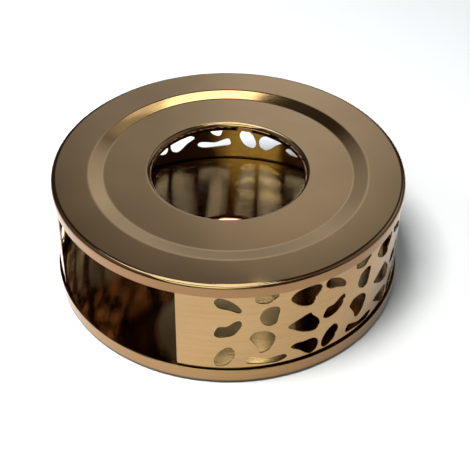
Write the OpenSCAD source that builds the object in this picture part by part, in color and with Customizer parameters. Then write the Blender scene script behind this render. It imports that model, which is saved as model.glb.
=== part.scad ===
// Teapot warmer for one tealight: a pressed cover, a perforated wall and a base pan.
// Millimetres, +Z up. The origin is on the table under the middle, and the window faces -Y.

/* [Sheet] */
// Thickness of the sheet metal
sheet = 0.5; // [0.4:0.05:0.6]

/* [Cover] */
// Outside diameter of the cover
cover_d = 135; // [132:0.5:138]
// Height of the standing ring above the table
height = 47; // [46.5:0.5:55]
// Depth of the skirt, from the standing ring to its lower edge
skirt_h = 4.9; // [4:0.1:6]
// Width of the shoulder, the outer edge of the standing ring that falls a little
shoulder_w = 1.5; // [1.5:0.1:2.2]
// Fall of the shoulder
shoulder_drop = 0.15; // [0.1:0.05:0.25]
// Bend between the standing ring and the shoulder
shoulder_bend = 4; // [2:0.5:4]
// Bend between the shoulder and the skirt
cover_bend = 1.1; // [0.9:0.05:1.2]
// Diameter at which the step starts down
step_d = 107; // [104:0.5:114]
// Width of the step along the radius
step_w = 5.7; // [4:0.1:8]
// Drop of the step
step_drop = 1; // [0.5:0.1:1.5]
// Bends at both edges of the step
step_bend = 2.5; // [1:0.5:5]
// Diameter of the centre hole
hole_d = 59.2; // [50:0.2:68]
// Depth of the collar turned down round the centre hole
collar_h = 3.2; // [3:0.1:5]
// Bend between the inner disc and the collar
collar_bend = 1.6; // [1:0.1:2.5]

/* [Wall] */
// Angle of the window, left open between the ends of the wall
window_angle = 54.5; // [40:0.5:62]
// Plain end of the wall, to the right of the window, in degrees
plain_angle = 10; // [5:0.1:14]
// Angle of the wall that one tile of openings takes
tile_angle = 34.65; // [34.5:0.05:35]
// Number of tiles along the wall
tiles = 8; // [1:1:8]
// Height of the wall's lower edge above the table
wall_foot = 0.9; // [0.85:0.05:1.1]

/* [Base] */
// Gap between the wall and the inside of the rim
rim_gap = 0.4; // [0.4:0.1:0.8]
// Height of the rim above the table
rim_h = 6.4; // [6:0.1:7.5]
// Bend between the rim and the foot
foot_bend = 1; // [0.8:0.05:1.1]
// Gap between the wall and the inner side of the groove
groove_gap = 0.5; // [0.4:0.1:0.8]
// Bends at the bottom and at the top of the groove's inner side
groove_bend = 0.5; // [0.4:0.05:0.6]
// Height of the floor above the table
floor_h = 2.2; // [1.95:0.05:3]

/* [Tealight seat] */
// Diameter of the flat bottom of the seat
seat_d = 42; // [38:0.5:44]
// Depth of the seat below the floor
seat_depth = 1.4; // [1:0.1:1.6]
// Slope of the side of the seat, in degrees
seat_slope = 30; // [25:1:40]
// Bend between the floor and the side of the seat
seat_edge_bend = 6; // [3:0.5:6]
// Bend between the side and the bottom of the seat
seat_foot_bend = 2.5; // [1.5:0.25:3]

/* [Hidden] */

bronze = [0.69, 0.55, 0.38];
bronze_dark = [0.48, 0.41, 0.31];
half = sheet / 2;
turn_steps = 160;
// Largest turn of one short chord of a bend, in degrees
chord = 12;

// Middle of the sheet along the cover, from the skirt's lower edge to the collar's lower edge
cover_r = cover_d / 2 - half;
ring_z = height - half;
disc_z = ring_z - step_drop;
collar_r = hole_d / 2 + half;
cover_line = [
    [cover_r, height - skirt_h],
    [cover_r, ring_z - shoulder_drop],
    [cover_r - shoulder_w, ring_z],
    [step_d / 2, ring_z],
    [step_d / 2 - step_w, disc_z],
    [collar_r, disc_z],
    [collar_r, disc_z + half - collar_h],
];
cover_bends = [cover_bend, shoulder_bend, step_bend, step_bend, collar_bend];

// The wall stands against the inside of the skirt and ends where the cover's bend begins
wall_r = cover_d / 2 - sheet;
wall_top = ring_z - shoulder_drop - cover_bend;
wall_start = -90 + window_angle / 2;
degrees_per_mm = 180 / (PI * wall_r);

// Middle of the sheet along the base, from the top of the rim to the centre of the seat
rim_r = wall_r + rim_gap + half;
groove_r = wall_r - sheet - groove_gap - half;
floor_z = floor_h - half;
seat_z = floor_z - seat_depth;
seat_foot_r = seat_d / 2 + seat_foot_bend * tan(seat_slope / 2);
seat_edge_r = seat_foot_r + seat_depth / tan(seat_slope);
base_line = [
    [rim_r, rim_h],
    [rim_r, half],
    [groove_r, half],
    [groove_r, floor_z],
    [seat_edge_r, floor_z],
    [seat_foot_r, seat_z],
    [0, seat_z],
];
base_bends = [foot_bend, groove_bend, groove_bend, seat_edge_bend, seat_foot_bend];

// One tile of pebble openings: points round each pebble as [along the wall, height above the table]
pebbles = [
    [[2, 39.5], [3.5, 41.5], [7, 40.5], [10, 38], [11.5, 35.5], [10.5, 34.5], [7, 36], [3.5, 37]],
    [[2, 24.5], [3.5, 27.5], [6.5, 28], [9, 30], [11, 30.5], [11.5, 28], [9, 24], [5, 22.5], [2.5, 23]],
    [[2, 11], [4, 15.5], [7.5, 17.5], [9.5, 14.5], [8, 10.5], [6, 8.5], [3, 8]],
    [[16, 40], [17.5, 38.5], [21, 38], [23, 39.5], [24.5, 41], [22.5, 43], [19, 43.5], [16.5, 42]],
    [[18, 31.5], [19.5, 35], [23, 36], [25, 34.5], [24.5, 30.5], [24, 28], [21.5, 27], [19, 28.5]],
    [[14.5, 22], [16.5, 24.5], [20.5, 24.5], [23.5, 22], [23.5, 18.5], [21.5, 15], [18.5, 14], [17, 17.5],
        [15.5, 20]],
    [[13.5, 10.5], [14.5, 12.5], [16.5, 12], [20.5, 10.5], [25, 11], [27.5, 11], [28.5, 9.5], [26, 8],
        [21.5, 8], [17, 8.5], [14, 9]],
    [[29, 37.5], [31, 40.5], [35.5, 41.5], [40, 41], [41, 38.5], [39, 35.5], [38, 33], [35.5, 32.5],
        [32, 34]],
    [[28.5, 24.5], [31.5, 26.5], [36.5, 28.5], [38, 27], [40.5, 24], [41, 21], [39, 19], [34.5, 20],
        [30.5, 22.5]],
    [[30, 13.5], [31.5, 15], [35, 15], [39, 15], [41, 12.5], [40.5, 9], [38, 7.5], [35.5, 9], [33.5, 11]],
];
// Chords between two neighbouring points of a pebble
pebble_chords = 2;

function unit(v) = v / norm(v);
function left_of(v) = [-v.y, v.x];
function signed_turn(u, v) = atan2(u.x * v.y - u.y * v.x, u.x * v.x + u.y * v.y);
function mean(list) = list * [for (v = list) 1] / len(list);
function reversed(list) = [for (i = [len(list) - 1:-1:0]) list[i]];

// Points of the bend at corner b of the line a, b, c, moved to the left by shift
function bend_points(a, b, c, radius, shift) =
    let (
        u = unit(b - a),
        turn = signed_turn(u, unit(c - b)),
        side = sign(turn),
        inward = left_of(u) * side,
        centre = b - u * radius * tan(abs(turn) / 2) + inward * radius,
        first = atan2(-inward.y, -inward.x),
        steps = ceil(abs(turn) / chord)
    )
    [for (i = [0:steps])
        let (q = first + turn * i / steps)
        centre + (radius - side * shift) * [cos(q), sin(q)]];

// The line with every corner bent, moved to the left by shift
function bent_line(line, bends, shift) =
    let (last = len(line) - 1)
    concat(
        [line[0] + left_of(unit(line[1] - line[0])) * shift],
        [for (i = [1:last - 1]) each bend_points(line[i - 1], line[i], line[i + 1], bends[i - 1], shift)],
        [line[last] + left_of(unit(line[last] - line[last - 1])) * shift]
    );

// Smooth closed curve through the points: cubic stretches, with the slope at a point along its two neighbours
function smooth_loop(p, chords) =
    let (n = len(p))
    [for (i = [0:n - 1], j = [0:chords - 1])
        let (
            t = j / chords,
            a = p[(i + n - 1) % n],
            b = p[i],
            c = p[(i + 1) % n],
            d = p[(i + 2) % n]
        )
        b + (t * (c - a) + t * t * (2 * a - 5 * b + 4 * c - d) + t * t * t * (3 * b - a - 3 * c + d)) / 2];

// A round pressing: the bent line with the sheet's thickness, turned about Z
module pressing(line, bends) {
    rotate_extrude($fn = turn_steps)
        polygon(concat(bent_line(line, bends, half), reversed(bent_line(line, bends, -half))));
}

// A bar with the outline of one pebble, pointing outwards through the wall
module pebble_cut(outline, tile) {
    middle = mean([for (p = outline) p.x]);
    along = plain_angle + tile * tile_angle + middle * degrees_per_mm;
    rotate([0, 0, wall_start + along])
        translate([wall_r - 3 * sheet, 0, 0])
            rotate([90, 0, 90])
                linear_extrude(6 * sheet)
                    polygon(smooth_loop([for (p = outline) [p.x - middle, p.y]], pebble_chords));
}

module cover_plate() {
    color(bronze_dark)
        pressing(cover_line, cover_bends);
}

module wall_band() {
    color(bronze)
        difference() {
            rotate([0, 0, wall_start])
                rotate_extrude(angle = 360 - window_angle, $fn = turn_steps)
                    translate([wall_r - sheet, wall_foot])
                        square([sheet, wall_top - wall_foot]);
            for (tile = [0:tiles - 1], outline = pebbles)
                pebble_cut(outline, tile);
        }
}

module base_pan() {
    color(bronze)
        pressing(base_line, base_bends);
}

cover_plate();
wall_band();
base_pan();
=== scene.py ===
"""Looks of a teapot warmer: a satin cover, a pierced wall and a base pan, in a plain studio.

Lengths are millimetres in the classes' fields and arrays, and metres in Blender.
"""

import logging
import math
from dataclasses import dataclass, field
from enum import Enum
from typing import ClassVar

import bpy
import numpy as np
from mathutils import Matrix, Vector
from mathutils.geometry import delaunay_2d_cdt


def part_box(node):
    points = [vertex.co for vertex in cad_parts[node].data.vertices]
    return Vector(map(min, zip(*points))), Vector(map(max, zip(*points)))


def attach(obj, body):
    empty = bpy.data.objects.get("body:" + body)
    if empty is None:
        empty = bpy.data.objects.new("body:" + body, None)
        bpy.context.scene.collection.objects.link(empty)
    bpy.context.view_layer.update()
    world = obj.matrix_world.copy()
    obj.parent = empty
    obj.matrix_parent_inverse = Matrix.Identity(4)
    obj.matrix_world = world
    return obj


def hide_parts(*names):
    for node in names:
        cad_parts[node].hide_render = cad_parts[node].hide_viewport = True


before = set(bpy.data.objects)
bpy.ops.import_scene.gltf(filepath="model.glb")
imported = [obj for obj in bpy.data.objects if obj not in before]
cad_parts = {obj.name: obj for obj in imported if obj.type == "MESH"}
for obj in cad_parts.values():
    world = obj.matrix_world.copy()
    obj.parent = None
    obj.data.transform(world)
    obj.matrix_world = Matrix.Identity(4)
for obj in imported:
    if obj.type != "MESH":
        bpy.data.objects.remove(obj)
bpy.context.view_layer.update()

MM = 0.001
LOG = logging.getLogger("teapot_warmer")

# Points that agree when counted in these parts of a millimetre are one point
PLACES_PER_MM = 1e4
# Settings of a Mix node that mixes colours, its inputs for the share and both colours, and its output
MIX_COLOURS = {"data_type": "RGBA", "clamp_factor": True}
MIX_INPUTS = (0, 6, 7)
MIX_RESULT = 2
# Inputs of a Map Range node
RANGE_INPUTS = ("Value", "From Min", "From Max", "To Min", "To Max")
# Kind of triangulation, all triangles up to the hull, and the distance at which it joins points
HULL_TRIANGLES = 0
JOINING_DISTANCE = 1e-6

Pair = tuple[float, float]
Triple = tuple[float, float, float]
Colour = Triple
TwoArrays = tuple[np.ndarray, np.ndarray]

# Colours of the studio's light that are used more than once
COOL: Colour = (1.0, 1.28, 1.45)
YELLOWISH: Colour = (0.95, 1.12, 0.95)
PALE_YELLOW: Colour = (1.0, 1.0, 0.8)
# Height of the lights on the ceiling
CEILING = 900.0


class Body(Enum):
    """The two bodies that come apart."""

    BASE = "base"
    HOUSING = "housing"


class Slot(Enum):
    """The record's material slots."""

    COVER = "cover_sheet"
    WALL = "wall_sheet"
    BASE = "base_sheet"


class Lights(Enum):
    """What a softbox lights."""

    METAL = "metal"
    FLOOR = "floor"


def metres(*lengths: float) -> tuple[float, ...]:
    """Lengths in millimetres, as metres."""
    return tuple(length * MM for length in lengths)


def unit(vectors: np.ndarray) -> np.ndarray:
    """Vectors along the last axis, each divided by its length."""
    return vectors / np.linalg.norm(vectors, axis=-1, keepdims=True)


def left_of(vectors: np.ndarray) -> np.ndarray:
    """Vectors in a plane, each turned a quarter turn to the left."""
    return np.stack([-vectors[..., 1], vectors[..., 0]], axis=-1)


def frame_box(node: str) -> TwoArrays:
    """The lowest and highest corner of a node of the frame, to a hundredth of a millimetre."""
    low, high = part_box(node)
    return np.round(np.array(low) / MM, 2), np.round(np.array(high) / MM, 2)


def grid_points(*axes: np.ndarray | list[float]) -> np.ndarray:
    """The points of a grid, row by row, from the places along each axis."""
    return np.stack(np.meshgrid(*axes, indexing="ij"), axis=-1).reshape(-1, len(axes))


def grid_faces(rows: int, columns: int, wrap_rows: bool = False, wrap_columns: bool = False) -> np.ndarray:
    """Quads between the neighbours of a grid of points numbered row by row.

    Args:
        rows: number of rows.
        columns: number of columns.
        wrap_rows: whether the last row also joins the first.
        wrap_columns: whether the last column also joins the first.

    Returns:
        Point numbers, four to a face.
    """
    index = np.arange(rows * columns).reshape(rows, columns)
    if wrap_rows:
        index = np.concatenate([index, index[:1]], axis=0)
    if wrap_columns:
        index = np.concatenate([index, index[:, :1]], axis=1)
    corners = [index[:-1, :-1], index[1:, :-1], index[1:, 1:], index[:-1, 1:]]
    return np.stack(corners, axis=-1).reshape(-1, 4)


@dataclass
class Surface:
    """A surface as whole arrays.

    Attributes:
        points: its points.
        normals: the outward normal at each point.
        faces: point numbers of its faces, in groups of three or four to a face.
    """

    points: np.ndarray
    normals: np.ndarray
    faces: list[np.ndarray]

    @staticmethod
    def joined(parts: list["Surface"]) -> "Surface":
        """Several surfaces as one.

        Args:
            parts: the surfaces.

        Returns:
            One surface, in which points at the same place are one point.
        """
        points = np.concatenate([part.points for part in parts])
        normals = np.concatenate([part.normals for part in parts])
        starts = np.cumsum([0] + [len(part.points) for part in parts])
        places = np.round(points * PLACES_PER_MM).astype(np.int64)
        _, first, number = np.unique(places, axis=0, return_index=True, return_inverse=True)
        number = number.reshape(-1)
        faces = [number[face + start] for part, start in zip(parts, starts) for face in part.faces]
        return Surface(points[first], normals[first], faces)

    def facing_out(self) -> list[np.ndarray]:
        """The faces, each turned round where its own normal is against the normals at its corners.

        Its own normal is along the cross product of its diagonals, or of two sides of a triangle.

        Returns:
            The point numbers, in groups as before.
        """
        turned = []
        for face in self.faces:
            corners = self.points[face]
            own = np.cross(corners[:, 2] - corners[:, 0], corners[:, -1] - corners[:, 1])
            against = np.sum(own * self.normals[face].sum(axis=1), axis=1) < 0
            turned.append(np.where(against[:, None], face[:, ::-1], face))
        return turned

    def to_object(self, name: str) -> bpy.types.Object:
        """Puts the surface into the scene.

        Args:
            name: name of the piece.

        Returns:
            The new object, at the origin, with the surface's own normals.
        """
        mesh = bpy.data.meshes.new(name)
        faces = [face for group in self.facing_out() for face in group.tolist()]
        mesh.from_pydata((self.points * MM).tolist(), [], faces, shade_flat=False)
        mesh.normals_split_custom_set_from_vertices(unit(self.normals).tolist())
        mesh.validate()
        piece = bpy.data.objects.new(name, mesh)
        bpy.context.scene.collection.objects.link(piece)
        return piece


@dataclass(frozen=True)
class SheetLine:
    """The middle of a bent sheet in section, with a bend at each inner corner.

    Attributes:
        corners: radius and height of each corner, from a free edge to the other end.
        bends: radius of the bend at each inner corner.
        sheet: thickness of the sheet.
        bend_steps: chords in each bend and in each rounded edge.
        columns: steps round Z.
    """

    corners: np.ndarray
    bends: np.ndarray
    sheet: float
    bend_steps: int = 12
    columns: int = 400

    @property
    def closed(self) -> bool:
        """Whether both ends are free edges. Otherwise the line ends on the axis."""
        return bool(self.corners[-1, 0] > 0)

    def ways(self) -> np.ndarray:
        """Unit vectors along each straight stretch."""
        return unit(np.diff(self.corners, axis=0))

    def face(self, shift: float, from_start: float, from_end: float) -> TwoArrays:
        """The line moved to its left, with each corner an arc about the same centre.

        The centre of a bend lies one bend radius to the inside of both stretches that meet there, and its
        arc runs from the first stretch's foot to the second's.

        Args:
            shift: how far to the left.
            from_start: length left off at the start.
            from_end: length left off at the end.

        Returns:
            The points, and the unit vector to the left at each.
        """
        ways = self.ways()
        going, leaving = ways[:-1], ways[1:]
        crossed = going[:, 0] * leaving[:, 1] - going[:, 1] * leaving[:, 0]
        turn = np.arctan2(crossed, np.sum(going * leaving, axis=1))
        side = np.sign(turn)
        inward = left_of(going) * side[:, None]
        foot = self.bends * np.tan(np.abs(turn) / 2)
        centre = self.corners[1:-1] - going * foot[:, None] + inward * self.bends[:, None]
        share = np.linspace(0, 1, self.bend_steps + 1)
        angle = np.arctan2(-inward[:, 1], -inward[:, 0])[:, None] + turn[:, None] * share
        spokes = np.stack([np.cos(angle), np.sin(angle)], axis=-1)
        arcs = centre[:, None] + (self.bends - side * shift)[:, None, None] * spokes
        to_left = -side[:, None, None] * spokes
        first, last = left_of(ways[0]), left_of(ways[-1])
        start = self.corners[0] + ways[0] * from_start + first * shift
        end = self.corners[-1] - ways[-1] * from_end + last * shift
        points = np.concatenate([start[None], arcs.reshape(-1, 2), end[None]])
        return points, np.concatenate([first[None], to_left.reshape(-1, 2), last[None]])

    def rounded_edge(self, at_start: bool) -> TwoArrays:
        """A free edge of the sheet as a half circle, from one face of the sheet to the other.

        Args:
            at_start: whether it is the edge at the line's start.

        Returns:
            The points between both faces, and the normal at each.
        """
        way = -self.ways()[0] if at_start else self.ways()[-1]
        tip = self.corners[0] if at_start else self.corners[-1]
        half = self.sheet / 2
        angle = np.linspace(math.pi / 2, -math.pi / 2, self.bend_steps + 1)[1:-1, None]
        normals = np.cos(angle) * way + np.sin(angle) * left_of(way)
        return tip - way * half + normals * half, normals

    def outline(self) -> TwoArrays:
        """The sheet's whole outline in section, with the sheet on its right.

        Returns:
            The points and the outward normal at each.
        """
        half = self.sheet / 2
        end_edge = half if self.closed else 0
        left = self.face(half, half, end_edge)
        right, right_normals = self.face(-half, half, end_edge)
        parts = [(right[::-1], -right_normals[::-1]), self.rounded_edge(at_start=True), left]
        if self.closed:
            parts.append(self.rounded_edge(at_start=False))
        points, normals = zip(*parts)
        return np.concatenate(points), np.concatenate(normals)

    def turned(self) -> Surface:
        """The outline carried round Z: radius times cosine and sine of the angle, at its own height.

        Returns:
            The closed surface of the pressing.
        """
        columns = self.columns
        points, normals = self.outline()
        angle = np.arange(columns) * 2 * math.pi / columns
        spokes = np.stack([np.cos(angle), np.sin(angle), np.ones(columns)], axis=-1)

        def carried(section: np.ndarray) -> np.ndarray:
            """A section's radii along every spoke, with its heights."""
            return (section[:, None, [0, 0, 1]] * spokes).reshape(-1, 3)

        if self.closed:
            faces = grid_faces(len(points), columns, wrap_rows=True, wrap_columns=True)
            return Surface(carried(points), carried(normals), [faces])
        rows = len(points) - 2
        last_row = (rows - 1) * columns
        ring = np.arange(columns)
        top = np.stack([np.full(columns, rows * columns), ring, np.roll(ring, -1)], axis=-1)
        bottom = top + [1, last_row, last_row]
        poles, up_down = (section[[0, -1]][:, [0, 0, 1]] for section in (points, normals))
        return Surface(
            np.concatenate([carried(points[1:-1]), poles]),
            np.concatenate([carried(normals[1:-1]), up_down]),
            [grid_faces(rows, columns, wrap_columns=True), top, bottom],
        )


class Value:
    """A shader socket that Python's operators work on. Each operator adds a Math node."""

    def __init__(self, bench: "Bench", socket: bpy.types.NodeSocket | None) -> None:
        """Wraps one output socket of a bench's tree."""
        self.bench = bench
        self.socket = socket

    def maths(self, operation: str, first: "Value | float", second: "Value | float" = 0.0) -> "Value":
        """The result of a Math node on one or two values."""
        return self.bench.node("Math", {"operation": operation}, {0: first, 1: second})

    def __add__(self, other: "Value | float") -> "Value":
        """The sum."""
        return self.maths("ADD", self, other)

    def __sub__(self, other: "Value | float") -> "Value":
        """The difference."""
        return self.maths("SUBTRACT", self, other)

    def __rsub__(self, other: float) -> "Value":
        """The difference from a number."""
        return self.maths("SUBTRACT", other, self)

    def __mul__(self, other: "Value | float") -> "Value":
        """The product."""
        return self.maths("MULTIPLY", self, other)

    def __pow__(self, other: float) -> "Value":
        """The power of a value that isn't negative."""
        return self.maths("POWER", self, other)

    def __abs__(self) -> "Value":
        """The value without its sign."""
        return self.maths("ABSOLUTE", self)


class Bench:
    """The node tree in which a finish or the room's light is made."""

    def __init__(self, owner: bpy.types.Material | bpy.types.World) -> None:
        """Empties a node tree.

        Args:
            owner: the material or world that the tree belongs to.
        """
        owner.use_nodes = True
        self.tree = owner.node_tree
        self.tree.nodes.clear()

    def node(
        self,
        kind: str,
        settings: dict[str, object] | None = None,
        sockets: dict[str | int, object] | None = None,
        out: str | int = 0,
    ) -> Value:
        """Adds a node.

        Args:
            kind: the node's type, without ShaderNode in front.
            settings: its settings, set first.
            sockets: numbers, colours or links for its inputs.
            out: the output that is wanted.

        Returns:
            That output, empty where the node has none.
        """
        made = self.tree.nodes.new("ShaderNode" + kind)
        for key, setting in (settings or {}).items():
            setattr(made, key, setting)
        for key, value in (sockets or {}).items():
            if isinstance(value, Value):
                self.tree.links.new(value.socket, made.inputs[key])
            else:
                made.inputs[key].default_value = value
        return Value(self, made.outputs[out] if made.outputs else None)

    def vectors(self, operation: str, *inputs: object, out: str | int = 0) -> Value:
        """The result of a Vector Math node on its first inputs."""
        return self.node("VectorMath", {"operation": operation}, dict(enumerate(inputs)), out)

    def grain(self, size: Triple, turn: float = 0.0, detail: float = 2.0) -> Value:
        """Smooth noise on Object coordinates, drawn out along the three axes.

        Args:
            size: size of a grain along each axis.
            turn: angle by which the grain is turned about Z, in degrees.
            detail: octaves of finer noise.

        Returns:
            A value round zero: the noise less its middle, one half.
        """
        place = self.node("TexCoord", out="Object")
        drawn_out = {"Vector": place, "Rotation": (0, 0, math.radians(turn)), "Scale": metres(*size)}
        spread = self.node("Mapping", {"vector_type": "TEXTURE"}, drawn_out)
        noise = self.node("TexNoise", None, {"Vector": spread, "Scale": 1.0, "Detail": detail})
        return noise - 0.5

    def between(self, share: Value, first: "Colour | Value", second: "Colour | Value") -> Value:
        """A colour between two colours: the first at share 0 and the second at share 1."""
        ends = [end if isinstance(end, Value) else (*end, 1) for end in (first, second)]
        return self.node("Mix", MIX_COLOURS, dict(zip(MIX_INPUTS, (share, *ends))), MIX_RESULT)

    def scratched_normal(self, scratches: list[tuple[Value, Triple]]) -> Value:
        """The surface's normal, tipped by fine scratches.

        Args:
            scratches: for each set of scratches, the slope at a place and the direction that it tips to.

        Returns:
            The unit normal: the smooth one plus slope times direction for each set.
        """
        normal = self.node("NewGeometry", out="Normal")
        for slope, direction in scratches:
            tip = self.node("VectorMath", {"operation": "SCALE"}, {0: direction, "Scale": slope})
            normal = self.vectors("ADD", normal, tip)
        return self.vectors("NORMALIZE", normal)

    def eased(self, value: Value, places: Pair, levels: Pair) -> Value:
        """A smooth change from one level to another while a value goes from one place to another."""
        sockets = dict(zip(RANGE_INPUTS, (value, *places, *levels)))
        return self.node("MapRange", {"interpolation_type": "SMOOTHSTEP"}, sockets)


@dataclass(frozen=True, kw_only=True)
class BronzeFinish:
    """Bronze-coloured steel, satin or brushed.

    Attributes:
        name: name of the material.
        light: colour where the coat is light.
        dark: colour where it is dark.
        cloud: size of the soft clouds in the coat.
        roughness: roughness between the scratches.
        pores: how much the fine pores change the roughness.
        pore_depth: depth of the pores.
        wear: how much smoother the bends are rubbed.
        line_slope: slope of the brush lines round the object.
        line_height: height of one brush line.
        line_length: length of one brush line.
        streak: height of the soft streaks that the brush leaves in the coat.
        pore_size: size of a pore.
        cloud_share: how much the clouds change the coat between dark and light.
        streak_share: how much the streaks do.
        pore_share: how much the pores do.
        bend_share: how much lighter the bends are.
        plain_share: how light the coat is without all of these, from 0 to 1.
    """

    name: str
    light: Colour
    dark: Colour
    cloud: float = 25.0
    roughness: float
    pores: float = 0.04
    pore_depth: float = 0.0005
    wear: float = 0.0
    line_slope: float = 0.2
    line_height: float
    line_length: float = 30.0
    streak: float = 0.8
    pore_size: float = 0.4
    cloud_share: float = 1.2
    streak_share: float = 1.4
    pore_share: float = 0.6
    # bend_share: how much lighter the bends are painted, partly as wear and partly as a painted highlight.
    bend_share: float = 0.3
    plain_share: float = 0.4

    def level(self, bench: Bench) -> Value:
        """How level the sheet lies: 1 where it is level and 0 where it is upright."""
        normal = bench.node("NewGeometry", out="Normal")
        return abs(bench.node("SeparateXYZ", None, {0: normal}, out="Z"))

    def bend(self, bench: Bench) -> Value:
        """How far a place lies in a bend: four times level times one less level, which is 1 halfway."""
        level = self.level(bench)
        return level * (1.0 - level) * 4.0

    def scratches(self, bench: Bench) -> list[tuple[Value, Triple]]:
        """The brush lines along the sheet: noise that is long round the object and fine in height."""
        lines = bench.grain((self.line_length, self.line_length, self.line_height))
        return [(lines * self.line_slope, (0, 0, 1))]

    def coat(self, bench: Bench, share: Value) -> Value:
        """The coat's colour, from dark at share 0 to light at share 1."""
        return bench.between(share, self.dark, self.light)

    def made(self) -> bpy.types.Material:
        """Builds the material.

        The colour has soft clouds and streaks, and its bends are painted lighter, partly as wear and
        partly as a painted highlight; the pores change the roughness and the height, the bends are rubbed
        smoother, and the scratches tip the normal.

        Returns:
            The material.
        """
        material = bpy.data.materials.new(self.name)
        bench = Bench(material)
        clouds = bench.grain((self.cloud,) * 3, detail=4.0)
        pores = bench.grain((self.pore_size,) * 3, detail=1.0)
        streaks = bench.grain((self.line_length, self.line_length, self.streak), detail=3.0)
        bend = self.bend(bench)
        share = clouds * self.cloud_share + streaks * self.streak_share + pores * self.pore_share
        # Painted highlight: the bends are made lighter, partly as wear and partly as a painted highlight
        colour = self.coat(bench, share + bend * self.bend_share + self.plain_share)
        roughness = (pores + clouds) * self.pores - bend * self.wear + self.roughness
        tipped = bench.scratched_normal(self.scratches(bench))
        bump = {"Strength": 1.0, "Distance": self.pore_depth * MM, "Height": pores, "Normal": tipped}
        normal = bench.node("Bump", None, bump)
        steel = {"Base Color": colour, "Metallic": 1.0, "Roughness": roughness, "Normal": normal}
        shader = bench.node("BsdfPrincipled", None, steel)
        bench.node("OutputMaterial", None, {"Surface": shader})
        return material


@dataclass(frozen=True, kw_only=True)
class PanFinish(BronzeFinish):
    """The base's finish: brushed round its rim, straight across its floor, and painted with shade along
    its foot.

    Attributes:
        floor_turn: angle of the brush lines on the floor, about Z, in degrees.
        floor_slope: slope of those lines.
        floor_line: length and width of one of those lines.
        floor_fade: from where to where, across the floor, the lines grow from faint to full.
        floor_least: share of the slope that the faint lines have.
        level_power: power of the sheet's levelness by which the lines keep to the floor.
        foot_painted_shade: colour of the shade painted along the foot, where its contact shadow falls.
        foot_line: heights above the table between which the foot's painted shade fades.
        foot_edge: radii between which that painted shade sets in.
    """

    floor_turn: float
    floor_slope: float = 0.7
    floor_line: Pair = (6.0, 0.012)
    floor_fade: Pair = (-35.0, -5.0)
    floor_least: float = 0.1
    level_power: float = 24.0
    # Painted shade: a dark colour along the foot that stands for its contact shadow
    foot_painted_shade: Colour = (0.03, 0.017, 0.008)
    foot_line: Pair = (0.8, 1.9)
    foot_edge: Pair = (66.0, 66.8)

    def scratches(self, bench: Bench) -> list[tuple[Value, Triple]]:
        """The rim's lines, and the floor's, which fade to the front and where the sheet isn't level.

        Args:
            bench: the material's bench.

        Returns:
            For both sets of lines, the slope and the direction that it tips to.
        """
        length, width = self.floor_line
        lines = bench.grain((length, width, length), turn=self.floor_turn, detail=0.0)
        across = math.radians(self.floor_turn + 90)
        way = (math.cos(across), math.sin(across), 0)
        place = bench.node("TexCoord", out="Object")
        along = bench.vectors("DOT_PRODUCT", place, way, out="Value")
        share = bench.eased(along, metres(*self.floor_fade), (self.floor_least, 1.0))
        slope = lines * self.level(bench) ** self.level_power * share * self.floor_slope
        return [*super().scratches(bench), (slope, way)]

    def coat(self, bench: Bench, share: Value) -> Value:
        """The coat's colour, with a painted shade that turns it dark down to the foot, where the contact
        shadow falls.

        Args:
            bench: the material's bench.
            share: how light the coat is, from 0 to 1.

        Returns:
            The colour.
        """
        place = bench.node("TexCoord", out="Object")
        spoke = bench.vectors("MULTIPLY", place, (1, 1, 0))
        radius = bench.vectors("LENGTH", spoke, out="Value")
        height = bench.node("SeparateXYZ", None, {0: place}, out="Z")
        # Painted shade: the coat turns dark low on the rim by the foot, in place of the contact shadow
        low = bench.eased(height, metres(*self.foot_line), (1.0, 0.0))
        painted_shade = low * bench.eased(radius, metres(*self.foot_edge), (0.0, 1.0))
        return bench.between(painted_shade, super().coat(bench, share), self.foot_painted_shade)


@dataclass
class SheetPart:
    """A sub-assembly of bent sheet.

    Attributes:
        finish: its finish.
        sheet: thickness of the sheet.
        slot: its material slot.
    """

    finish: BronzeFinish
    sheet: float = 0.5
    slot: ClassVar[Slot]

    def dress(self, piece: bpy.types.Object) -> None:
        """Gives the piece its finish."""
        piece.data.materials.append(self.finish.made())


@dataclass
class CoverPlate(SheetPart):
    """The cover: a ring to stand on, a step down to a disc, a collar round the hole, and a skirt.

    Attributes:
        shoulder_width: width of the ring's outer edge that falls a little.
        shoulder_drop: fall of that edge.
        shoulder_bend: bend between the ring and the shoulder.
        corner_bend: bend between the shoulder and the skirt.
        step_radius: radius at which the step starts down.
        step_width: width of the step.
        step_drop: drop of the step.
        step_bend: bends at both edges of the step.
        hole_radius: radius of the centre hole.
        collar_height: depth of the collar.
        collar_bend: bend between the disc and the collar.
    """

    slot: ClassVar[Slot] = Slot.COVER
    shoulder_width: float = 1.5
    shoulder_drop: float = 0.15
    shoulder_bend: float = 4.0
    corner_bend: float = 1.1
    step_radius: float = 53.5
    step_width: float = 5.7
    step_drop: float = 1.0
    step_bend: float = 7.0
    hole_radius: float = 29.6
    collar_height: float = 3.2
    collar_bend: float = 1.6

    def build(self) -> bpy.types.Object:
        """Builds the pressing on the frame's cover.

        Returns:
            The piece.
        """
        low, high = frame_box("cover_plate")
        half = self.sheet / 2
        skirt_radius = high[0] - half
        ring_z = high[2] - half
        disc_z = ring_z - self.step_drop
        collar_radius = self.hole_radius + half
        corners = [
            [skirt_radius, low[2]],
            [skirt_radius, ring_z - self.shoulder_drop],
            [skirt_radius - self.shoulder_width, ring_z],
            [self.step_radius, ring_z],
            [self.step_radius - self.step_width, disc_z],
            [collar_radius, disc_z],
            [collar_radius, disc_z + half - self.collar_height],
        ]
        bends = [self.corner_bend, self.shoulder_bend, self.step_bend, self.step_bend, self.collar_bend]
        line = SheetLine(np.array(corners), np.array(bends), self.sheet)
        piece = line.turned().to_object("cover")
        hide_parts("cover_plate")
        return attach(piece, Body.HOUSING.value)


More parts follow.
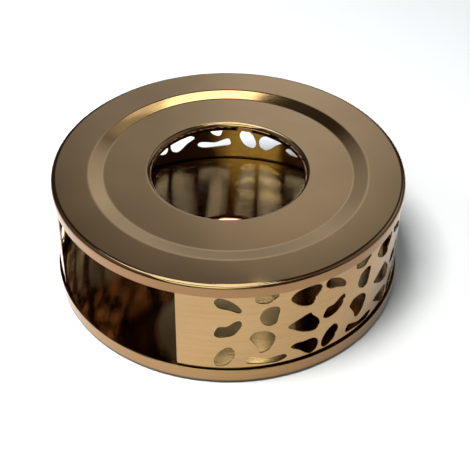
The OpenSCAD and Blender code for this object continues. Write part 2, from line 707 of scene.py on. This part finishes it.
@dataclass
class BasePan(SheetPart):
    """The base: a rim, a groove for the wall, a raised floor and a seat for a tealight.

    Attributes:
        foot_bend: bend between the rim and the foot.
        groove_width: from the middle of the rim to the middle of the groove's inner wall.
        groove_bend: bends at the bottom and the top of that wall.
        floor_height: height of the floor above the table.
        seat_radius: radius of the seat's flat bottom.
        seat_depth: depth of the seat.
        seat_slope: slope of its side, in degrees.
        seat_edge_bend: bend between the floor and the side.
        seat_foot_bend: bend between the side and the bottom.
    """

    slot: ClassVar[Slot] = Slot.BASE
    foot_bend: float = 1.0
    groove_width: float = 1.9
    groove_bend: float = 0.5
    floor_height: float = 2.2
    seat_radius: float = 21.0
    seat_depth: float = 1.4
    seat_slope: float = 30.0
    seat_edge_bend: float = 6.0
    seat_foot_bend: float = 2.5

    def build(self) -> bpy.types.Object:
        """Builds the pressing on the frame's base.

        Returns:
            The piece.
        """
        low, high = frame_box("base_pan")
        half = self.sheet / 2
        slope = math.radians(self.seat_slope)
        rim_radius = high[0] - half
        groove_radius = rim_radius - self.groove_width
        floor_z = self.floor_height - half
        seat_z = floor_z - self.seat_depth
        seat_foot = self.seat_radius + self.seat_foot_bend * math.tan(slope / 2)
        seat_edge = seat_foot + self.seat_depth / math.tan(slope)
        corners = [
            [rim_radius, high[2]],
            [rim_radius, low[2] + half],
            [groove_radius, low[2] + half],
            [groove_radius, floor_z],
            [seat_edge, floor_z],
            [seat_foot, seat_z],
            [0, seat_z],
        ]
        seat_bends = [self.seat_edge_bend, self.seat_foot_bend]
        bends = [self.foot_bend, self.groove_bend, self.groove_bend, *seat_bends]
        line = SheetLine(np.array(corners), np.array(bends), self.sheet)
        piece = line.turned().to_object("base")
        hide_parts("base_pan")
        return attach(piece, Body.BASE.value)


# One tile of pebble openings: points round each pebble, as length along the wall and height
PEBBLES = [
    [[2, 39.5], [3.5, 41.5], [7, 40.5], [10, 38], [11.5, 35.5], [10.5, 34.5], [7, 36], [3.5, 37]],
    [[2, 24.5], [3.5, 27.5], [6.5, 28], [9, 30], [11, 30.5], [11.5, 28], [9, 24], [5, 22.5], [2.5, 23]],
    [[2, 11], [4, 15.5], [7.5, 17.5], [9.5, 14.5], [8, 10.5], [6, 8.5], [3, 8]],
    [[16, 40], [17.5, 38.5], [21, 38], [23, 39.5], [24.5, 41], [22.5, 43], [19, 43.5], [16.5, 42]],
    [[18, 31.5], [19.5, 35], [23, 36], [25, 34.5], [24.5, 30.5], [24, 28], [21.5, 27], [19, 28.5]],
    [[14.5, 22], [16.5, 24.5], [20.5, 24.5], [23.5, 22], [23.5, 18.5], [21.5, 15], [18.5, 14], [17, 17.5],
     [15.5, 20]],
    [[13.5, 10.5], [14.5, 12.5], [16.5, 12], [20.5, 10.5], [25, 11], [27.5, 11], [28.5, 9.5], [26, 8],
     [21.5, 8], [17, 8.5], [14, 9]],
    [[29, 37.5], [31, 40.5], [35.5, 41.5], [40, 41], [41, 38.5], [39, 35.5], [38, 33], [35.5, 32.5],
     [32, 34]],
    [[28.5, 24.5], [31.5, 26.5], [36.5, 28.5], [38, 27], [40.5, 24], [41, 21], [39, 19], [34.5, 20],
     [30.5, 22.5]],
    [[30, 13.5], [31.5, 15], [35, 15], [39, 15], [41, 12.5], [40.5, 9], [38, 7.5], [35.5, 9], [33.5, 11]],
]


@dataclass(frozen=True)
class SheetEdge:
    """A closed edge of the wall's sheet in the flat.

    Attributes:
        points: points along the edge, as length along the wall and height.
        into_sheet: at each point, the way into the sheet that moves the edge by one.
    """

    points: np.ndarray
    into_sheet: np.ndarray

    def moved(self, distance: np.ndarray | float) -> np.ndarray:
        """The edge's points, moved into the sheet."""
        return self.points + self.into_sheet * distance


@dataclass
class WallBand(SheetPart):
    """The wall: a strip bent to an open ring, pierced by tiles of pebble-shaped openings.

    Attributes:
        window_angle: angle left open between the strip's ends, in degrees.
        window_middle: angle about Z of the window's middle, in degrees.
        plain_angle: plain end before the first tile, in degrees.
        tile_angle: angle that one tile takes, in degrees.
        tiles: number of tiles.
        tile_start: where a tile's own rectangle starts, clear of its pebbles.
        edge_round: radius of the rounded cut edges.
        edge_steps: chords in each rounded edge.
        pebble_chords: chords between two neighbouring points of a pebble.
        step: length and height of the grid between the openings.
        radius: radius of the wall's outside, from the frame.
        bottom: height of its lower edge, from the frame.
        top: height of its upper edge, from the frame.
    """

    slot: ClassVar[Slot] = Slot.WALL
    window_angle: float = 54.5
    window_middle: float = -90.0
    plain_angle: float = 10.0
    tile_angle: float = 34.65
    tiles: int = 8
    tile_start: float = 1.25
    edge_round: float = 0.12
    edge_steps: int = 4
    pebble_chords: int = 8
    step: Pair = (1.4, 2.5)
    radius: float = field(init=False)
    bottom: float = field(init=False)
    top: float = field(init=False)

    def __post_init__(self) -> None:
        """Takes the wall's radius and height from the frame."""
        low, high = frame_box("wall_band")
        self.radius = float(high[0])
        self.bottom = float(low[2])
        self.top = float(high[2])

    def length_of(self, degrees: float) -> float:
        """Length along the wall's outside of an angle in degrees."""
        return math.radians(degrees) * self.radius

    def pebble_edge(self, points: list[list[float]]) -> SheetEdge:
        """The edge of one opening.

        It is a smooth closed curve through the points: a cubic stretch between neighbours, whose slope at
        each point is along the line between the points on both sides.

        Args:
            points: points round the pebble.

        Returns:
            Its edge, counter-clockwise.
        """
        here = np.array(points, float)[:, None]
        before, after, beyond = (np.roll(here, places, axis=0) for places in (1, -1, -2))
        t = (np.arange(self.pebble_chords) / self.pebble_chords)[:, None]
        linear = after - before
        square = 2 * before - 5 * here + 4 * after - beyond
        cubic = 3 * here - before - 3 * after + beyond
        loop = (here + (t * linear + t**2 * square + t**3 * cubic) / 2).reshape(-1, 2)
        area = np.sum(np.roll(loop[:, 1], -1) * loop[:, 0] - np.roll(loop[:, 0], -1) * loop[:, 1])
        loop = loop if area > 0 else loop[::-1]
        along = unit(np.roll(loop, -1, 0) - np.roll(loop, 1, 0))
        return SheetEdge(loop, -left_of(along))

    def stations(self, start: float, end: float, step: float) -> np.ndarray:
        """Evenly spaced places from start to end, about a step apart."""
        return np.linspace(start, end, max(2, round((end - start) / step) + 1))

    def border_edge(self, along: np.ndarray, heights: np.ndarray, length: float) -> SheetEdge:
        """The outer edge of the strip.

        Args:
            along: places along the strip, moved in from its ends by the edge's rounding.
            heights: heights, moved in from its top and bottom likewise.
            length: length of the strip.

        Returns:
            Its edge, counter-clockwise, with a point at each place and height and at the corners.
        """
        u = np.concatenate([[0], along[1:-1], [length]])
        v = np.concatenate([[self.bottom], heights[1:-1], [self.top]])
        sides = [(u[:-1], v[0]), (u[-1], v[:-1]), (u[:0:-1], v[-1]), (u[0], v[:0:-1])]
        points = np.concatenate([np.stack(np.broadcast_arrays(*side), axis=1) for side in sides])
        low, high = (u[0], v[0]), (u[-1], v[-1])
        return SheetEdge(points, (points == low).astype(float) - (points == high))

    def tile_triangles(self, edges: list[SheetEdge], along: np.ndarray, heights: np.ndarray) -> TwoArrays:
        """One tile in the flat: triangles between its rectangle and its openings.

        Args:
            edges: the edges of its openings.
            along: places along its rectangle.
            heights: heights on its rectangle.

        Returns:
            The points, and the point numbers of the triangles.
        """
        grid = grid_points(along, heights)
        loops = [edge.moved(self.edge_round) for edge in edges]
        rims = np.concatenate(loops)
        nearest = np.linalg.norm(grid[:, None] - rims, axis=2).min(axis=1)
        on_border = np.isin(grid[:, 0], along[[0, -1]]) | np.isin(grid[:, 1], heights[[0, -1]])
        grid = grid[on_border | (nearest > self.step[0] / 2)]
        points = np.concatenate([grid, *loops])
        starts = len(grid) + np.cumsum([0] + [len(loop) for loop in loops])
        holes = [list(range(first, last)) for first, last in zip(starts[:-1], starts[1:])]
        flat, _, triangles, _, _, inside = delaunay_2d_cdt(
            [Vector(point) for point in points.tolist()], [], holes, HULL_TRIANGLES, JOINING_DISTANCE
        )
        kept = [triangle for triangle, hole in zip(triangles, inside) if not hole]
        return np.array([list(point) for point in flat]), np.array(kept)

    def spoke(self, flat: np.ndarray) -> np.ndarray:
        """Way out from Z as x + iy, at the angle of the window's edge plus length over radius."""
        edge = math.radians(self.window_middle + self.window_angle / 2)
        return np.exp(1j * (edge + flat[..., 0] / self.radius))

    def bent(self, flat: np.ndarray, depth: np.ndarray | float) -> np.ndarray:
        """Points of the flat strip, bent round Z at the wall's outer radius less their depth."""
        place = (self.radius - depth) * self.spoke(flat)
        return np.stack([place.real, place.imag, flat[..., 1]], axis=-1)

    def turned_out(self, flat: np.ndarray, ways: np.ndarray) -> np.ndarray:
        """Directions along the wall, up and out at points of the flat strip, turned as it is bent."""
        way = (ways[..., 2] + 1j * ways[..., 0]) * self.spoke(flat)
        return np.stack([way.real, way.imag, ways[..., 1]], axis=-1)

    def both_faces(self, flat: np.ndarray, faces: np.ndarray) -> list[Surface]:
        """The outside and the inside of a piece of the flat strip.

        Args:
            flat: its points.
            faces: its faces.

        Returns:
            Two surfaces.
        """
        normals = self.turned_out(flat, np.broadcast_to([0, 0, 1], (len(flat), 3)))
        outside = Surface(self.bent(flat, 0.0), normals, [faces])
        inside = Surface(self.bent(flat, self.sheet), -normals, [faces])
        return [outside, inside]

    def cut_edge(self, edge: SheetEdge) -> Surface:
        """The thickness of the sheet along an edge, rounded at both faces.

        A quarter circle leads from the outside to the cut, and another from the cut to the inside. This
        profile is carried along the edge.

        Args:
            edge: the edge.

        Returns:
            The surface of the cut.
        """
        quarter = np.linspace(0, math.pi / 2, self.edge_steps + 1)
        sine, cosine = np.sin(quarter), np.cos(quarter)
        depth = self.edge_round * (1 - cosine)
        depth = np.concatenate([depth, self.sheet - depth[::-1]])
        open_part = np.concatenate([sine, sine[::-1]])
        out_part = np.concatenate([cosine, -cosine[::-1]])
        flat = edge.moved(self.edge_round * (1 - open_part[:, None, None]))
        facing = np.broadcast_to(-unit(edge.into_sheet), flat.shape) * open_part[:, None, None]
        outward = np.broadcast_to(out_part[:, None, None], (*flat.shape[:2], 1))
        normals = self.turned_out(flat, np.concatenate([facing, outward], axis=-1))
        points = self.bent(flat, depth[:, None])
        faces = grid_faces(len(depth), len(edge.points), wrap_columns=True)
        return Surface(points.reshape(-1, 3), normals.reshape(-1, 3), [faces])

    def build(self) -> bpy.types.Object:
        """Builds the pierced strip on the frame's wall.

        Returns:
            The piece.
        """
        inset = self.edge_round
        length = self.length_of(360 - self.window_angle)
        tile_length = self.length_of(self.tile_angle)
        first = self.length_of(self.plain_angle)
        tile_along = self.tile_start + self.stations(0, tile_length, self.step[0])
        heights = self.stations(self.bottom + inset, self.top - inset, self.step[1])
        edges = [self.pebble_edge(points) for points in PEBBLES]
        tile, triangles = self.tile_triangles(edges, tile_along, heights)
        shifts = [np.array([first + number * tile_length, 0]) for number in range(self.tiles)]
        tiles_start = first + self.tile_start
        tiles_end = tiles_start + self.tiles * tile_length
        before = self.stations(inset, tiles_start, self.step[0])
        after = self.stations(tiles_end, length - inset, self.step[0])
        parts = []
        for ends in (before, after):
            parts += self.both_faces(grid_points(ends, heights), grid_faces(len(ends), len(heights)))
        for shift in shifts:
            parts += self.both_faces(tile + shift, triangles)
            parts += [self.cut_edge(SheetEdge(edge.points + shift, edge.into_sheet)) for edge in edges]
        tile_places = [tile_along[1:] + shift[0] for shift in shifts]
        along = np.concatenate([before, *tile_places, after[1:]])
        parts.append(self.cut_edge(self.border_edge(along, heights, length)))
        piece = Surface.joined(parts).to_object("wall")
        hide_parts("wall_band")
        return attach(piece, Body.HOUSING.value)


@dataclass(frozen=True)
class Softbox:
    """A soft light that hangs level and shines down, placed as the camera sees the object.

    Attributes:
        name: name of the light.
        place: its middle, as right, away and up from the origin.
        size: its width to the right and its length away.
        brightness: how bright its face is.
        colour: its colour.
        turn: angle by which it is turned about Z, in degrees.
        lights: whether the metal mirrors it or the floor is lit by it.
    """

    name: str
    place: Triple
    size: Pair
    brightness: float
    colour: Colour
    turn: float = 0.0
    lights: Lights = Lights.METAL


@dataclass(frozen=True)
class Glow:
    """A soft round patch of light on the room's walls, placed as the camera sees the object.

    Attributes:
        middle: azimuth of its middle, to the right of straight behind, and elevation, in degrees.
        fade: angles from its middle at which it starts to fade and has faded away, in degrees.
        brightness: how bright it is.
        colour: its colour.
    """

    middle: Pair
    fade: Pair
    brightness: float
    colour: Colour


@dataclass
class Studio:
    """The pale floor, the soft light and the camera.

    Attributes:
        softboxes: the lights.
        glows: the light patches on the room's walls.
        room: brightness of the rest of the room.
        room_colour: colour of the room's light.
        view_azimuth: the camera's angle round the object, in degrees.
        view_elevation: its angle above the table, in degrees.
        view_distance: its distance from the origin.
        view_roll: how far its right side is tipped up, in degrees.
        aim: the point that the camera looks at, as right, away and up from the origin.
        lens: focal length.
        sensor: width of the sensor.
        clip: the nearest and the farthest that the camera sees.
        floor_side: side of the floor.
        floor_gap: gap between the floor and the foot.
        floor_colour: colour of the floor.
        floor_roughness: its roughness.
        floor_shine: how much it mirrors.
    """

    softboxes: list[Softbox]
    glows: list[Glow]
    room: float = 0.07
    room_colour: Colour = (1.03, 0.98, 0.92)
    view_azimuth: float = 42.85
    view_elevation: float = 41.83
    view_distance: float = 445.0
    view_roll: float = 0.8
    aim: Triple = (2.87, 0.0, 12.52)
    lens: float = 83.06
    sensor: float = 36.0
    clip: Pair = (10.0, 20000.0)
    floor_side: float = 6000.0
    floor_gap: float = 0.02
    floor_colour: Colour = (0.86, 0.86, 0.85)
    floor_roughness: float = 0.7
    floor_shine: float = 0.2

    def placed(self, right: float, away: float, up: float) -> Vector:
        """A place given as the camera sees the object, in the object's frame and in metres."""
        return Matrix.Rotation(math.radians(self.view_azimuth), 3, "Z") @ Vector((right, away, up)) * MM

    def toward(self, azimuth: float, elevation: float, distance: float) -> Vector:
        """A place in a direction from the origin.

        Args:
            azimuth: angle to the right of straight behind, in degrees.
            elevation: angle above the table, in degrees.
            distance: how far away.

        Returns:
            The place in the object's frame, in metres.
        """
        a, e = math.radians(azimuth), math.radians(elevation)
        level = distance * math.cos(e)
        return self.placed(level * math.sin(a), level * math.cos(a), distance * math.sin(e))

    def set_camera(self) -> None:
        """Makes the camera at the photograph's angle, with no depth of field."""
        in_front = 180.0
        eye = self.toward(in_front, self.view_elevation, self.view_distance)
        back = (eye - self.placed(*self.aim)).normalized()
        turn = back.to_track_quat("Z", "Y").to_matrix().to_4x4()
        roll = Matrix.Rotation(math.radians(self.view_roll), 4, "Z")
        lens = bpy.data.cameras.new("camera")
        lens.lens = self.lens
        lens.sensor_width = self.sensor
        lens.clip_start, lens.clip_end = metres(*self.clip)
        camera = bpy.data.objects.new("camera", lens)
        camera.matrix_world = Matrix.Translation(eye) @ turn @ roll
        bpy.context.scene.collection.objects.link(camera)
        bpy.context.scene.camera = camera

    def set_lights(self) -> None:
        """Hangs the softboxes, whose power is brightness times pi times area, and sets a plain view."""
        for box in self.softboxes:
            lamp = bpy.data.lights.new(box.name, "AREA")
            lamp.shape = "RECTANGLE"
            lamp.size, lamp.size_y = metres(*box.size)
            lamp.energy = box.brightness * math.pi * lamp.size * lamp.size_y
            lamp.color = box.colour
            holder = bpy.data.objects.new(box.name, lamp)
            holder.visible_glossy = box.lights is Lights.METAL
            holder.visible_diffuse = box.lights is Lights.FLOOR
            turn = Matrix.Rotation(math.radians(self.view_azimuth + box.turn), 4, "Z")
            holder.matrix_world = Matrix.Translation(self.placed(*box.place)) @ turn
            bpy.context.scene.collection.objects.link(holder)
        bpy.context.scene.view_settings.view_transform = "Standard"

    def set_room(self) -> None:
        """Lights the room: an even dim light, and glows that fade with the angle from their middle."""
        world = bpy.data.worlds.new("room")
        bpy.context.scene.world = world
        bench = Bench(world)
        way = bench.node("TexCoord", out="Generated")
        room = bench.node("Background", None, {"Color": (*self.room_colour, 1), "Strength": self.room})
        for glow in self.glows:
            middle = self.toward(*glow.middle, 1.0) / MM
            beside = bench.vectors("DOT_PRODUCT", way, middle, out="Value")
            full, gone = (math.cos(math.radians(angle)) for angle in glow.fade)
            light = bench.eased(beside, (gone, full), (0.0, glow.brightness))
            patch = bench.node("Background", None, {"Color": (*glow.colour, 1), "Strength": light})
            room = bench.node("AddShader", None, {0: room, 1: patch})
        bench.node("OutputWorld", None, {"Surface": room})

    def set_floor(self) -> None:
        """Makes the pale floor just under the foot."""
        half = self.floor_side / 2
        corners = grid_points([-half, half], [-half, half], [-self.floor_gap])
        up = np.broadcast_to([0, 0, 1], corners.shape)
        floor = Surface(corners, up, [grid_faces(2, 2)]).to_object("floor")
        material = bpy.data.materials.new("pale_floor")
        bench = Bench(material)
        matt = {
            "Base Color": (*self.floor_colour, 1),
            "Roughness": self.floor_roughness,
            "Specular IOR Level": self.floor_shine,
        }
        shader = bench.node("BsdfPrincipled", None, matt)
        bench.node("OutputMaterial", None, {"Surface": shader})
        floor.data.materials.append(material)


def ceiling_fade() -> list[Softbox]:
    """The far end of the ceiling's light.

    Returns:
        Strips, one behind the other, in which it fades.
    """
    right, start, width, length = 49.0, 757.0, 22.0, 35.0
    return [
        Softbox(f"ceiling_fade_{strip}", place=(right, start + length * strip, CEILING),
                size=(width, length), brightness=brightness, colour=YELLOWISH)
        for strip, brightness in enumerate((2.8, 2.0, 1.4))
    ]


def studio_lights() -> list[Softbox]:
    """The studio's softboxes.

    Returns:
        Those that the metal mirrors, and the two that light the floor.
    """
    return [
        Softbox("ceiling", place=(-150.0, 318.0, CEILING), size=(460.0, 516.0),
                brightness=3.2, colour=(1.0, 1.3, 1.5), turn=-5.0),
        Softbox("ceiling_front", place=(-60.0, 0.0, CEILING), size=(560.0, 120.0),
                brightness=7.0, colour=(1.0, 1.35, 1.6)),
        Softbox("above_camera", place=(0.0, -270.0, CEILING), size=(900.0, 400.0),
                brightness=0.6, colour=PALE_YELLOW),
        Softbox("beside_camera", place=(-288.0, -886.0, CEILING), size=(760.0, 1100.0),
                brightness=2.9, colour=(0.95, 1.4, 0.95), turn=-18.0),
        Softbox("ceiling_end", place=(20.0, 680.0, CEILING), size=(80.0, 120.0),
                brightness=7.0, colour=YELLOWISH),
        Softbox("key", place=(-240.0, -200.0, 930.0), size=(400.0, 400.0),
                brightness=24.0, colour=(1.0, 1.0, 1.0), lights=Lights.FLOOR),
        Softbox("side", place=(-200.0, 0.0, 250.0), size=(120.0, 120.0),
                brightness=12.0, colour=(0.95, 1.05, 1.2), lights=Lights.FLOOR),
        *ceiling_fade(),
    ]


def room_glows() -> list[Glow]:
    """The light patches on the room's walls.

    Returns:
        Those behind the object, beside it and in front of it.
    """
    return [
        Glow(middle=(-1.0, 33.4), fade=(0.0, 13.3), brightness=0.6, colour=COOL),
        Glow(middle=(6.4, 36.0), fade=(0.0, 9.5), brightness=0.48, colour=COOL),
        Glow(middle=(5.0, 15.0), fade=(8.0, 20.0), brightness=0.58, colour=COOL),
        Glow(middle=(8.5, 46.0), fade=(0.0, 3.5), brightness=0.8, colour=YELLOWISH),
        Glow(middle=(40.0, 38.0), fade=(5.0, 17.0), brightness=0.5, colour=COOL),
        Glow(middle=(80.0, 35.0), fade=(10.0, 40.0), brightness=0.25, colour=COOL),
        Glow(middle=(-88.0, 42.0), fade=(15.0, 40.0), brightness=0.2, colour=COOL),
        Glow(middle=(180.0, 8.0), fade=(8.0, 24.0), brightness=0.6, colour=PALE_YELLOW),
    ]


def main() -> None:
    """Builds the studio and the three pieces, and reports each piece."""
    logging.basicConfig(level=logging.INFO, format="%(message)s")
    studio = Studio(studio_lights(), room_glows())
    studio.set_camera()
    studio.set_lights()
    studio.set_room()
    studio.set_floor()
    satin = BronzeFinish(
        name="satin_bronze",
        light=(0.30, 0.1635, 0.0786),
        dark=(0.26, 0.1417, 0.068),
        cloud=22.0,
        roughness=0.06,
        pore_depth=0.0015,
        wear=0.03,
        line_slope=0.04,
        line_height=0.06,
        line_length=20.0,
        streak=20.0,
    )
    brushed = BronzeFinish(
        name="brushed_bronze",
        light=(0.45, 0.281, 0.130),
        dark=(0.36, 0.224, 0.102),
        roughness=0.1,
        line_height=0.05,
    )
    turn_from_view = -5.0
    pan = PanFinish(
        name="pan_bronze",
        light=(0.36, 0.208, 0.0955),
        dark=(0.295, 0.171, 0.078),
        roughness=0.08,
        wear=0.02,
        line_height=0.04,
        floor_turn=studio.view_azimuth + turn_from_view,
    )
    for sub_assembly in (CoverPlate(satin), WallBand(brushed), BasePan(pan)):
        piece = sub_assembly.build()
        sub_assembly.dress(piece)
        LOG.info("%s: %d faces", piece.name, len(piece.data.polygons))


if __name__ == "__main__":
    main()
